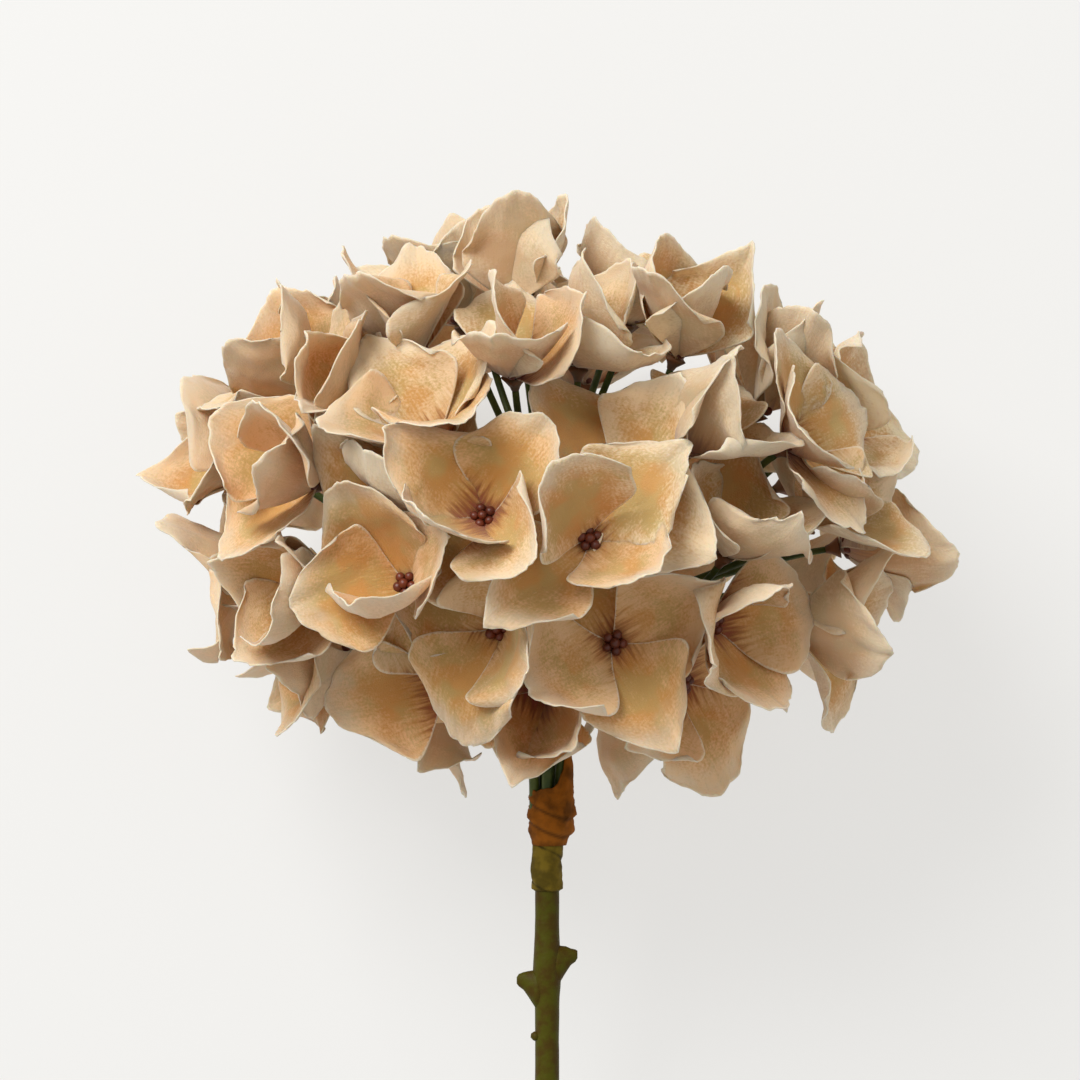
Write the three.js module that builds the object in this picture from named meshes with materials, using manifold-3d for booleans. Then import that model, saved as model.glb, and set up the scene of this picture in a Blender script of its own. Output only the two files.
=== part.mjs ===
// A cut silk hydrangea: one rounded head of four-petalled cloth florets on a wired stem.
// Millimetres. It is built along its own stem, head centre at zero, +Y up the stem and +Z to
// the flower's front. It is then laid on its back as one rigid thing: +Z up from the table.

import * as THREE from "three";
import { mergeVertices } from "three/addons/utils/BufferGeometryUtils.js";
import Module from "manifold-3d";

// Overall sizes. The three head sizes are measured over the floret hubs, inside the petals.
const HEAD_WIDTH = 134;
const HEAD_HEIGHT = 93;
const HEAD_DEPTH = 118;
const STEM_LENGTH = 405;

// Florets.
const PETAL_LENGTH = 28;
const PETAL_THICKNESS = 1;
const PRESSED_DEPTH = 9.5;
const CLEARANCE = 0.5;

// Sprays.
const PEDICEL_RADIUS = 0.9;
const PEDICEL_STRAIGHT = 13;
const BRANCH_RADIUS = 1.3;
const CALYX_RADIUS = 2.3;
const CALYX_HEIGHT = 3;

// Stem, its core and its wraps.
const GAP = 0.3;
const STEM_RADIUS = 2.9;
const WIRE_RADIUS = 1.2;
const STEM_TOP = -83;
const WIRE_TOP = -62;
const NODE_HEIGHT = -115;
const TAPE_LENGTH = 11.5;
const TAPE_THICKNESS = 0.8;
const WRAP_LENGTH = 13;
const WRAP_THICKNESS = 1.1;
const FLAP_HEIGHT = 8;

// Each floret: longitude round the stem from the front, latitude above the middle of the head,
// lift off the shell in mm, then in degrees the roll of the first petal, the slope of the petals
// and how far the floret is turned up. Before that turn the florets all look away from one focus,
// low in the head and a little behind the stem.
const FLORETS = [
  // front, lower half
  [-12, -6, 2, 50, 38, 2],
  [8, -12, 1, 40, 44, 2],
  [17, -44, 3, 30, 38, 8],
  [-31, -25, 1, 20, 44, 6],
  [-13, -40, -2, 65, 44, 4],
  [-31, -2, -9, 65, 44, 8],
  [-51, 4, 2, 60, 38, 0],
  [-55, -26, 1, 55, 40, -10],
  [-86, -21, 5, 45, 40, -8],
  [-72, -47, 4, 25, 42, 0],
  [-42, -62, 3, 5, 40, 0],
  [0, -68, 1, 70, 42, 10],
  [56, -60, 5, 30, 40, 0],
  [43, -15, -5, 70, 42, 42],
  [65, -7, 1, 5, 40, 22],
  [46, -38, -1, 20, 42, 0],
  [78, -36, 6, 20, 42, 0],
  [92, -15, 6, 40, 40, 0],
  // front, upper half
  [14, 9, -9, 30, 40, 16],
  [30, 16, -5, 45, 48, 34],
  [54, 13, 4, 10, 42, 2],
  [-24, 19, -3, 45, 48, 26],
  [-8, 36, 1, 0, 50, 14],
  [10, 48, -5, 40, 48, 20],
  [40, 46, 0, 15, 48, 8],
  [64, 30, -4, 30, 44, 14],
  [88, 19, 3, 50, 42, 4],
  [-93, 9, 3, 60, 40, 0],
  [-73, 32, 1, 40, 42, 0],
  [-50, 26, -7, 20, 40, 10],
  [-42, 47, -1, 15, 48, 8],
  [-16, 70, 2, 35, 46, 0],
  [74, 72, -2, 25, 46, 0],
  [-92, 72, -2, 50, 44, 0],
  // back, round the middle
  [122, 4, 3, 25, 42, 0],
  [-126, 8, 2, 30, 42, 0],
  [157, -2, 0, 45, 38, 0],
  [-161, -1, 0, 55, 38, 0],
  // back, upper half
  [-112, 33, 1, 15, 42, 0],
  [-150, 37, 0, 40, 40, 0],
  [170, 38, 0, 65, 40, 0],
  [127, 35, 1, 20, 42, 0],
  [-145, 66, 0, 50, 42, 0],
  [145, 66, 0, 35, 42, 0],
  // back, lower half
  [-121, -32, 2, 10, 42, 0],
  [-158, -37, 0, 25, 38, 0],
  [160, -37, 0, 50, 38, 0],
  [119, -30, 2, 15, 40, 0],
  [-125, -66, 3, 65, 42, 0],
  [150, -66, 3, 20, 42, 0],
];

// Outline of a petal: turn from its middle line in degrees, reach as a share of its length.
const OUTLINE = [
  [-33, 0.84],
  [0, 1],
  [33, 0.84],
  [45, 0.3],
];

const COLOURS = {
  cloth: { color: 0xdcc29a, roughness: 0.9, metalness: 0 },
  spray: { color: 0x3f5a26, roughness: 0.55, metalness: 0 },
  bract: { color: 0x7d4a1a, roughness: 0.8, metalness: 0 },
  tape: { color: 0x5c5420, roughness: 0.75, metalness: 0 },
  stem: { color: 0x4d4a1c, roughness: 0.5, metalness: 0 },
  steel: { color: 0x8a8c8e, roughness: 0.4, metalness: 1 },
};

const SECTORS = 5;
const TOP_LATITUDE = 46;

const wasm = await Module();
wasm.setup();

const degrees = THREE.MathUtils.degToRad;
const at = (x, y, z) => new THREE.Vector3(x, y, z);

/** Closed solid for joining, from a three.js geometry. */
function solidOf(geometry) {
  const bare = geometry.clone();
  bare.deleteAttribute("normal");
  bare.deleteAttribute("uv");
  const merged = mergeVertices(bare, 1e-4);
  const vertProperties = new Float32Array(merged.attributes.position.array);
  const triVerts = new Uint32Array(merged.index.array);
  return new wasm.Manifold(new wasm.Mesh({ numProp: 3, vertProperties, triVerts }));
}

/** A three.js geometry from a joined solid. */
function geometryOf(solid) {
  const mesh = solid.getMesh();
  const geometry = new THREE.BufferGeometry();
  geometry.setAttribute("position", new THREE.BufferAttribute(mesh.vertProperties, 3));
  geometry.setIndex(new THREE.BufferAttribute(mesh.triVerts, 1));
  return geometry;
}

/** All the geometries joined into one closed geometry. */
function joined(geometries) {
  const solids = geometries.map(solidOf);
  return geometryOf(solids.reduce((whole, solid) => whole.add(solid)).simplify(0.06));
}

/** A straight round rod, which may taper. */
function rod(from, to, startRadius, endRadius, sides) {
  const along = to.clone().sub(from);
  const geometry = new THREE.CylinderGeometry(endRadius, startRadius, along.length(), sides);
  const turn = new THREE.Quaternion().setFromUnitVectors(at(0, 1, 0), along.normalize());
  geometry.applyQuaternion(turn);
  const middle = from.clone().add(to).multiplyScalar(0.5);
  return geometry.translate(middle.x, middle.y, middle.z);
}

/** A ring-shaped solid turned about the stem from a closed list of [radius, height]. */
function turned(outline, sides) {
  const points = [...outline, outline[0]].map(([r, y]) => new THREE.Vector2(r, y));
  return new THREE.LatheGeometry(points, sides);
}

/** How far the head leans back once its petals and the cut end both rest on the table. */
function restAngle() {
  const lever = Math.hypot(STEM_LENGTH, STEM_RADIUS);
  return Math.asin(restHeight() / lever) - Math.atan2(STEM_RADIUS, STEM_LENGTH);
}

/** Height of the head centre over the table. */
function restHeight() {
  return HEAD_DEPTH / 2 + PRESSED_DEPTH;
}

/** The point that the florets look away from. */
function focus() {
  return at(0, -HEAD_HEIGHT * 0.26, -HEAD_DEPTH * 0.1);
}

/** Hub, axis and petal frame of each floret, from its row of the table. */
function seats() {
  const half = [HEAD_WIDTH / 2, HEAD_HEIGHT / 2, HEAD_DEPTH / 2];
  return FLORETS.map(([longitude, latitude, lift, roll, slope, tilt]) => {
    const [east, north] = [degrees(longitude), degrees(latitude)];
    const x = Math.sin(east) * Math.cos(north);
    const y = Math.sin(north);
    const z = Math.cos(east) * Math.cos(north);
    const hub = at(x * half[0], y * half[1] - HEAD_HEIGHT / 36, z * half[2]);
    const axis = hub.clone().sub(focus()).normalize();
    hub.addScaledVector(axis, lift);
    const level = axis.clone().cross(at(0, 1, 0)).normalize();
    axis.applyAxisAngle(level, degrees(tilt));
    const upward = Math.abs(axis.y) > 0.9 ? at(0, 0, -1) : at(0, 1, 0);
    const side = upward.clone().cross(axis).normalize();
    const up = axis.clone().cross(side).normalize();
    return { longitude, latitude, hub, axis, side, up, roll, slope };
  });
}

/** Which spray carries a floret: 0 for the top one, 1 to SECTORS round the head. */
function sprayOf(seat) {
  if (seat.latitude > TOP_LATITUDE) {
    return 0;
  }
  const round = (seat.longitude + 360 + 180 / SECTORS) % 360;
  return 1 + Math.floor(round / (360 / SECTORS));
}

/** The rods of one spray: its branch first, then each pedicel with its calyx. */
function sprayRods(number, seatsHere) {
  const ring = WIRE_RADIUS + BRANCH_RADIUS + 3 * GAP;
  const turn = degrees(((number - 1) * 360) / SECTORS);
  const out = number === 0 ? at(0, 0, 0) : at(Math.sin(turn), 0, Math.cos(turn));
  const foot = out.clone().multiplyScalar(ring);
  foot.y = number === 0 ? WIRE_TOP + GAP : STEM_TOP + GAP;
  const bend = foot.clone().setY(WIRE_TOP + 4);
  const fork = out.clone().multiply(at(HEAD_WIDTH * 0.13, 1, HEAD_DEPTH * 0.13));
  fork.y = number === 0 ? -HEAD_HEIGHT * 0.06 : -HEAD_HEIGHT * 0.3;
  const rods = [
    { from: foot, to: bend, start: BRANCH_RADIUS, end: BRANCH_RADIUS, sides: 8 },
    { from: bend, to: fork, start: BRANCH_RADIUS, end: BRANCH_RADIUS, sides: 8 },
  ];
  for (const seat of seatsHere) {
    const low = seat.hub.clone().addScaledVector(seat.axis, -PEDICEL_STRAIGHT);
    const neck = seat.hub.clone().addScaledVector(seat.axis, -GAP - CALYX_HEIGHT);
    const rim = seat.hub.clone().addScaledVector(seat.axis, -GAP);
    const thin = PEDICEL_RADIUS;
    rods.push({ from: fork, to: low, start: thin, end: thin, sides: 6, seat });
    rods.push({ from: low, to: neck, start: thin, end: thin, sides: 6, seat });
    rods.push({ from: neck, to: rim, start: thin, end: CALYX_RADIUS, sides: 6, seat });
  }
  return rods;
}

/** One spray as a single body. */
function spray(rods) {
  const parts = rods.map((piece) => {
    const along = piece.to.clone().sub(piece.from).normalize();
    const reach = piece.end > piece.start ? 0 : piece.end * 0.6;
    const from = piece.from.clone().addScaledVector(along, piece.end > piece.start ? -0.4 : 0);
    const to = piece.to.clone().addScaledVector(along, reach);
    return rod(from, to, piece.start, piece.end, piece.sides);
  });
  return joined(parts);
}

/** Half-spaces that hold one floret's petals clear of the others, the rods and the table. */
function limitsOf(seat, allSeats, allRods) {
  const limits = [];
  for (const other of allSeats) {
    if (other !== seat) {
      const way = other.hub.clone().sub(seat.hub);
      const reach = way.length() / 2 - CLEARANCE / 2;
      limits.push({ way: way.normalize(), reach });
    }
  }
  const nearest = new THREE.Vector3();
  for (const piece of allRods) {
    if (piece.seat !== seat) {
      new THREE.Line3(piece.from, piece.to).closestPointToPoint(seat.hub, true, nearest);
      const way = nearest.clone().sub(seat.hub);
      const reach = way.length() - Math.max(piece.start, piece.end) - CLEARANCE;
      limits.push({ way: way.normalize(), reach });
    }
  }
  const down = at(0, -Math.sin(restAngle()), -Math.cos(restAngle()));
  limits.push({ way: down, reach: restHeight() - down.dot(seat.hub) });
  return limits;
}

/** Outer, middle and inner points of the cloth along one line from the hub to the edge. */
function clothLine(seat, turn, slope, length) {
  const round = degrees(seat.roll + turn);
  const out = seat.side.clone().multiplyScalar(Math.cos(round));
  out.addScaledVector(seat.up, Math.sin(round));
  const [first, second] = [degrees(slope - 12), degrees(slope + 8)];
  const bend = [Math.cos(first) * length * 0.45, Math.sin(first) * length * 0.45];
  const edge = [
    bend[0] + Math.cos(second) * length * 0.55,
    bend[1] + Math.sin(second) * length * 0.55,
  ];
  const place = ([radius, height]) => {
    const point = seat.hub.clone().addScaledVector(out, radius);
    return point.addScaledVector(seat.axis, height);
  };
  const lifted = ([radius, height], tilt) => [
    radius - Math.sin(tilt) * PETAL_THICKNESS,
    height + Math.cos(tilt) * PETAL_THICKNESS,
  ];
  const under = [place(bend), place(edge)];
  const over = [place(lifted(bend, (first + second) / 2)), place(lifted(edge, second))];
  return { under, over };
}

/** True when all the points of a line of cloth keep inside the limits. */
function keepsInside(line, seat, limits) {
  return [...line.under, ...line.over].every((point) => {
    const way = point.clone().sub(seat.hub);
    return limits.every((limit) => limit.way.dot(way) <= limit.reach);
  });
}

/** The slope nearest to the wanted one at which a petal keeps inside, and its length. */
function settledPetal(seat, middle, limits) {
  for (let length = PETAL_LENGTH; length > PETAL_LENGTH / 4; length *= 0.95) {
    for (let step = 0; step < 60; step += 1) {
      for (const slope of [seat.slope + step, seat.slope - step]) {
        const fits = OUTLINE.slice(0, 3).every(([turn, reach]) => {
          const line = clothLine(seat, middle + turn, slope, length * reach);
          return keepsInside(line, seat, limits);
        });
        if (fits && slope > 8 && slope < 78) {
          return { slope, length };
        }
      }
    }
  }
  return { slope: 70, length: PETAL_LENGTH / 4 };
}

/** The lines of cloth of a whole floret, in order round its hub. */
function floretLines(seat, limits) {
  const petals = [0, 90, 180, 270].map((middle) => settledPetal(seat, middle, limits));
  const lines = [];
  petals.forEach((petal, index) => {
    const next = petals[(index + 1) % 4];
    for (const [turn, reach] of OUTLINE) {
      const notch = turn === 45;
      const slope = notch ? Math.max(petal.slope, next.slope) : petal.slope;
      const length = notch ? Math.min(petal.length, next.length) : petal.length;
      lines.push(clothLine(seat, index * 90 + turn, slope, length * reach));
    }
  });
  return lines;
}

/** One floret: a thin four-petalled cup, closed all round. */
function floret(seat, limits) {
  const lines = floretLines(seat, limits);
  const count = lines.length;
  const points = [];
  for (const level of [0, 1]) {
    lines.forEach((line) => points.push(line.under[level]));
  }
  for (const level of [0, 1]) {
    lines.forEach((line) => points.push(line.over[level]));
  }
  const base = points.push(seat.hub.clone()) - 1;
  const top = points.push(seat.hub.clone().addScaledVector(seat.axis, PETAL_THICKNESS)) - 1;
  const faces = [];
  for (let here = 0; here < count; here += 1) {
    const next = (here + 1) % count;
    const [a, b, c, d] = [here, next, here + count, next + count];
    const [e, f, g, h] = [a, b, c, d].map((index) => index + 2 * count);
    faces.push(base, b, a, a, b, d, a, d, c);
    faces.push(top, e, f, e, h, f, e, g, h);
    faces.push(c, d, h, c, h, g);
  }
  const geometry = new THREE.BufferGeometry();
  const flat = new Float32Array(points.flatMap((point) => point.toArray()));
  geometry.setAttribute("position", new THREE.BufferAttribute(flat, 3));
  geometry.setIndex(faces);
  return geometry;
}

/** The moulded stem: a tube with a swollen node, two leaf-scar stubs and a nub. */
function mainStem() {
  const bore = WIRE_RADIUS + GAP;
  const outline = [
    [bore, -STEM_LENGTH],
    [STEM_RADIUS, -STEM_LENGTH],
    [STEM_RADIUS, NODE_HEIGHT - 9],
    [STEM_RADIUS + 0.5, NODE_HEIGHT - 4],
    [STEM_RADIUS + 0.5, NODE_HEIGHT + 3],
    [STEM_RADIUS, NODE_HEIGHT + 7],
    [STEM_RADIUS, STEM_TOP],
    [bore, STEM_TOP],
  ];
  const stub = (side, height, drop) => {
    const from = at(side * (bore + 0.7), height - drop, 0);
    const to = at(side * (STEM_RADIUS + 4.3), height, 0);
    return rod(from, to, 3, 1.5, 10);
  };
  const low = at(-(bore + 0.6), NODE_HEIGHT - 17, 0.6);
  const nub = rod(low, at(-STEM_RADIUS - 0.9, NODE_HEIGHT - 16, 0.6), 1.1, 0.6, 6);
  const lumps = [stub(-1, NODE_HEIGHT - 2, 4), stub(1, NODE_HEIGHT + 3, 4.5), nub];
  const inside = rod(at(0, NODE_HEIGHT - 30, 0), at(0, NODE_HEIGHT + 20, 0), bore + 0.5, bore + 0.5, 16);
  const outer = solidOf(joined(lumps)).subtract(solidOf(inside));
  return geometryOf(solidOf(turned(outline, 16)).add(outer));
}

/** The steel core, just inside the cut end and standing out above the stem. */
function stemWire() {
  return rod(at(0, -STEM_LENGTH + 0.6, 0), at(0, WIRE_TOP, 0), WIRE_RADIUS, WIRE_RADIUS, 12);
}

/** Olive tape, wound round the stem below the bract in three low laps. */
function tapeWrap() {
  const inner = STEM_RADIUS + GAP;
  const outer = inner + TAPE_THICKNESS;
  const top = STEM_TOP - 1.3 - GAP;
  const outline = [[inner, top - TAPE_LENGTH]];
  for (let lap = 0; lap < 3; lap += 1) {
    outline.push([outer, top - TAPE_LENGTH + ((lap + 0.1) * TAPE_LENGTH) / 3]);
    outline.push([outer - 0.3, top - TAPE_LENGTH + ((lap + 0.9) * TAPE_LENGTH) / 3]);
  }
  outline.push([inner, top]);
  return turned(outline, 16);
}

/** Crinkled wrap round the branch feet, with one side drawn up to a point. */
function bractWrap() {
  const ring = WIRE_RADIUS + 2 * BRANCH_RADIUS + 4 * GAP;
  const low = STEM_TOP - 1.3;
  const outline = [
    [STEM_RADIUS + GAP, low],
    [STEM_RADIUS + GAP + WRAP_THICKNESS, low],
    [ring + WRAP_THICKNESS, low + 4],
    [ring + WRAP_THICKNESS, low + WRAP_LENGTH],
    [ring, low + WRAP_LENGTH],
    [ring, STEM_TOP],
    [STEM_RADIUS + GAP, STEM_TOP],
  ];
  const geometry = turned(outline, 20);
  const spots = geometry.attributes.position;
  for (let index = 0; index < spots.count; index += 1) {
    if (spots.getY(index) > low + WRAP_LENGTH - 1) {
      const round = Math.atan2(spots.getX(index), spots.getZ(index)) - degrees(70);
      const rise = Math.max(0, Math.cos(round)) ** 14;
      spots.setY(index, spots.getY(index) + rise * FLAP_HEIGHT);
    }
  }
  return geometry;
}

/** Names and geometries of every piece, standing along the stem. */
function pieces() {
  const all = seats();
  const sprays = [];
  for (let number = 0; number <= SECTORS; number += 1) {
    const here = all.filter((seat) => sprayOf(seat) === number);
    sprays.push(sprayRods(number, here));
  }
  const rods = sprays.flat();
  const made = all.map((seat, index) => {
    const name = `floret_${String(index + 1).padStart(2, "0")}`;
    return [name, floret(seat, limitsOf(seat, all, rods)), "cloth"];
  });
  sprays.forEach((list, number) => {
    made.push([number === 0 ? "spray_top" : `spray_${number}`, spray(list), "spray"]);
  });
  made.push(["bract_wrap", bractWrap(), "bract"]);
  made.push(["tape_wrap", tapeWrap(), "tape"]);
  made.push(["main_stem", mainStem(), "stem"]);
  made.push(["stem_wire", stemWire(), "steel"]);
  return made;
}

/** The flower laid down, with the middle of its underside at zero. */
function flower() {
  const lean = new THREE.Matrix4().makeRotationX(restAngle());
  const group = new THREE.Group();
  const box = new THREE.Box3();
  for (const [name, geometry, finish] of pieces()) {
    geometry.applyMatrix4(lean);
    geometry.computeBoundingBox();
    box.union(geometry.boundingBox);
    const mesh = new THREE.Mesh(geometry, new THREE.MeshStandardMaterial(COLOURS[finish]));
    mesh.name = name;
    group.add(mesh);
  }
  const middle = box.getCenter(new THREE.Vector3());
  for (const mesh of group.children) {
    mesh.geometry.translate(-middle.x, -middle.y, -box.min.z);
  }
  group.name = "hydrangea";
  return group;
}

export default flower();
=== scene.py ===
"""A cut silk hydrangea lying on its back: cloth florets, bead centres, sprays, wraps and stem."""

from __future__ import annotations

import logging
import math
import random
from dataclasses import dataclass, replace
from enum import Enum

import bmesh
import bpy
from mathutils import Matrix, Vector, noise
from mathutils.bvhtree import BVHTree

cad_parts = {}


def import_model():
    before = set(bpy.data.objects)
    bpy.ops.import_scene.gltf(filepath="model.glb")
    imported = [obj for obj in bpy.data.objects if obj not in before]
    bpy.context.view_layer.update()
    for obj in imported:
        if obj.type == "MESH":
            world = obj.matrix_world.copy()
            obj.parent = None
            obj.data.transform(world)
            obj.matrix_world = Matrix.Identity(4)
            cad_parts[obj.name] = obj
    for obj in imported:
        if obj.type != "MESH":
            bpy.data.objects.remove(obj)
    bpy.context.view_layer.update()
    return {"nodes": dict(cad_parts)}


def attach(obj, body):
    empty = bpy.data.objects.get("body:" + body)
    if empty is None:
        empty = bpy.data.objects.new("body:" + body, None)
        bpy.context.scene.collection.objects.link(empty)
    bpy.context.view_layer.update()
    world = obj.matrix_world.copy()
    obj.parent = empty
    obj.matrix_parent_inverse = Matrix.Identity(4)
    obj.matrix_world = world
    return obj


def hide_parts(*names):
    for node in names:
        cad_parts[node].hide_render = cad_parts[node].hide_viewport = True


LOG = logging.getLogger("hydrangea")
MM = 0.001


class Habit(Enum):
    """How a petal was pressed: rolled in at the tip, flat, or rolled back."""

    IN = 1
    FLAT = 0
    BACK = -1


# ---------------------------------------------------------------- small helpers


def smooth(low: float, high: float, value: float) -> float:
    """Smooth step from 0 at low to 1 at high.

    Args:
        low: Where the step starts.
        high: Where the step ends.
        value: The place asked about.

    Returns:
        A share from 0 to 1.
    """
    share = min(1.0, max(0.0, (value - low) / (high - low)))
    return share * share * (3 - 2 * share)


def finish_piece(
    name: str, mesh: bmesh.types.BMesh, shade_smooth: bool = True, solid: bool = True
) -> bpy.types.Object:
    """Turns a bmesh into a named object that rides on the flower.

    Args:
        name: The piece's name.
        mesh: Its geometry in metres, in the row frame; freed here.
        shade_smooth: Whether faces are shaded smooth.
        solid: Whether it closes on itself; an open sheet keeps the side it has.

    Returns:
        The new object, linked into the scene.
    """
    if solid:
        bmesh.ops.recalc_face_normals(mesh, faces=mesh.faces)
    for face in mesh.faces:
        face.smooth = shade_smooth
    data = bpy.data.meshes.new(name)
    mesh.to_mesh(data)
    mesh.free()
    made = bpy.data.objects.new(name, data)
    bpy.context.scene.collection.objects.link(made)
    return made


def add_tube(
    mesh: bmesh.types.BMesh, path: list[Vector], radii: list[float], sides: int
) -> list[bmesh.types.BMVert]:
    """Adds a closed round tube along a path.

    Args:
        mesh: The bmesh to add to.
        path: Middle line of the tube in metres.
        radii: Radius at each point of the path.
        sides: Faces round the tube.

    Returns:
        The new vertices.
    """
    ways = []
    for index in range(len(path)):
        before = path[max(0, index - 1)]
        after = path[min(len(path) - 1, index + 1)]
        ways.append((after - before).normalized())
    turn = Vector((0, 0, 1)).rotation_difference(ways[0])
    ring = bmesh.ops.create_circle(
        mesh,
        cap_ends=True,
        segments=sides,
        radius=radii[0],
        matrix=Matrix.Translation(path[0]) @ turn.to_matrix().to_4x4(),
    )["verts"]
    made = list(ring)
    face = next(f for f in ring[0].link_faces if len(f.verts) == sides)
    for index in range(1, len(path)):
        lifted = bmesh.ops.extrude_face_region(mesh, geom=[face])["geom"]
        if index > 1:
            bmesh.ops.delete(mesh, geom=[face], context="FACES_ONLY")
        verts = [v for v in lifted if isinstance(v, bmesh.types.BMVert)]
        face = next(f for f in lifted if isinstance(f, bmesh.types.BMFace))
        step = ways[index - 1].rotation_difference(ways[index]).to_matrix()
        scale = radii[index] / radii[index - 1]
        middle = path[index - 1]
        for vert in verts:
            vert.co = path[index] + step @ ((vert.co - middle) * scale)
        made += verts
    return made


def curve_between(start: Vector, bend: Vector, end: Vector, steps: int) -> list[Vector]:
    """Points of a smooth bend from start to end, drawn towards one control point.

    Args:
        start: First point.
        bend: Control point.
        end: Last point.
        steps: How many pieces the bend is cut into.

    Returns:
        steps + 1 points.
    """
    points = []
    for index in range(steps + 1):
        t = index / steps
        points.append(start * (1 - t) ** 2 + bend * (2 * t * (1 - t)) + end * t**2)
    return points


def open_ends(mesh: bmesh.types.BMesh) -> None:
    """Takes the two caps off a tube, which leaves a sleeve."""
    caps = [face for face in mesh.faces if len(face.verts) > 8]
    bmesh.ops.delete(mesh, geom=caps, context="FACES_ONLY")


def thicken(made: bpy.types.Object, thickness: float) -> None:
    """Gives a sleeve its thickness, inwards.

    Args:
        made: The piece.
        thickness: In mm.
    """
    skin = made.modifiers.new("wall", "SOLIDIFY")
    skin.thickness = thickness * MM
    skin.offset = -1.0


def write_value(made: bpy.types.Object, name: str, values: list[float]) -> None:
    """Stores one number per vertex, under a name that the finishes read."""
    layer = made.data.attributes.new(name, "FLOAT", "POINT")
    layer.data.foreach_set("value", values)


# ---------------------------------------------------------------- finishes


class Nodes:
    """Short calls for building one material's node tree."""

    def __init__(self, name: str) -> None:
        self.material = bpy.data.materials.new(name)
        self.material.use_nodes = True
        self.tree = self.material.node_tree
        self.shader = next(n for n in self.tree.nodes if n.type == "BSDF_PRINCIPLED")

    def feed(self, socket: bpy.types.NodeSocket, value: object) -> None:
        """Links or sets a socket.

        Args:
            socket: The input.
            value: An output socket, a number or a colour.
        """
        if isinstance(value, bpy.types.NodeSocket):
            self.tree.links.new(value, socket)
        elif isinstance(value, tuple) and len(value) == 3 and socket.type == "RGBA":
            socket.default_value = (*value, 1.0)
        else:
            socket.default_value = value

    def maths(self, kind: str, first: object, second: object = 0.0) -> bpy.types.NodeSocket:
        """Works out a sum, a product or another operation on two numbers.

        Args:
            kind: Name of the operation.
            first: First number or socket.
            second: Second number or socket.

        Returns:
            The result's socket.
        """
        node = self.tree.nodes.new("ShaderNodeMath")
        node.operation = kind
        self.feed(node.inputs[0], first)
        self.feed(node.inputs[1], second)
        return node.outputs[0]

    def step(self, value: object, low: float, high: float) -> bpy.types.NodeSocket:
        """Smooth step of a number, from 0 at low to 1 at high.

        Args:
            value: The number or socket.
            low: Where the step starts.
            high: Where it ends.

        Returns:
            The result's socket.
        """
        node = self.tree.nodes.new("ShaderNodeMapRange")
        node.interpolation_type = "SMOOTHSTEP"
        self.feed(node.inputs["Value"], value)
        node.inputs["From Min"].default_value = low
        node.inputs["From Max"].default_value = high
        return node.outputs["Result"]

    def mask(self, value: object, low: float, high: float, most: float) -> bpy.types.NodeSocket:
        """Smooth step of a number, from 0 at low to the given most at high."""
        return self.maths("MULTIPLY", self.step(value, low, high), most)

    def blend(self, share: object, low: object, high: object) -> bpy.types.NodeSocket:
        """A mix of two colours.

        Args:
            share: How much of the second colour.
            low: First colour.
            high: Second colour.

        Returns:
            The mixed colour's socket.
        """
        node = self.tree.nodes.new("ShaderNodeMix")
        node.data_type = "RGBA"
        self.feed(node.inputs[0], share)
        self.feed(node.inputs[6], low)
        self.feed(node.inputs[7], high)
        return node.outputs[2]

    def value(self, name: str) -> bpy.types.NodeSocket:
        """A number stored on the piece's vertices.

        Args:
            name: The attribute's name.

        Returns:
            Its socket.
        """
        node = self.tree.nodes.new("ShaderNodeAttribute")
        node.attribute_name = name
        return node.outputs["Fac"]

    def place(self, across: float = 1.0, kind: str = "Object") -> bpy.types.NodeSocket:
        """Coordinates for patterns, in metres, or a piece's own map.

        Args:
            across: Factor on the first axis.
            kind: Object or UV.

        Returns:
            The vector's socket.
        """
        source = self.tree.nodes.new("ShaderNodeTexCoord")
        node = self.tree.nodes.new("ShaderNodeMapping")
        self.tree.links.new(source.outputs[kind], node.inputs["Vector"])
        node.inputs["Scale"].default_value = (across, 1.0, 1.0)
        return node.outputs["Vector"]

    def cloud(self, where: object, scale: float, detail: float = 2.0) -> bpy.types.NodeSocket:
        """Soft noise.

        Args:
            where: The vector's socket.
            scale: Size of the pattern.
            detail: Octaves.

        Returns:
            A number from about 0.3 to 0.7.
        """
        node = self.tree.nodes.new("ShaderNodeTexNoise")
        self.feed(node.inputs["Vector"], where)
        node.inputs["Scale"].default_value = scale
        node.inputs["Detail"].default_value = detail
        return node.outputs["Fac"]

    def bump(self, height: object, strength: float, depth: float) -> None:
        """Gives the shader a bump.

        Args:
            height: The height's socket.
            strength: Strength of the bump.
            depth: Its depth in metres.
        """
        node = self.tree.nodes.new("ShaderNodeBump")
        node.inputs["Strength"].default_value = strength
        node.inputs["Distance"].default_value = depth
        self.feed(node.inputs["Height"], height)
        self.tree.links.new(node.outputs["Normal"], self.shader.inputs["Normal"])


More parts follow.
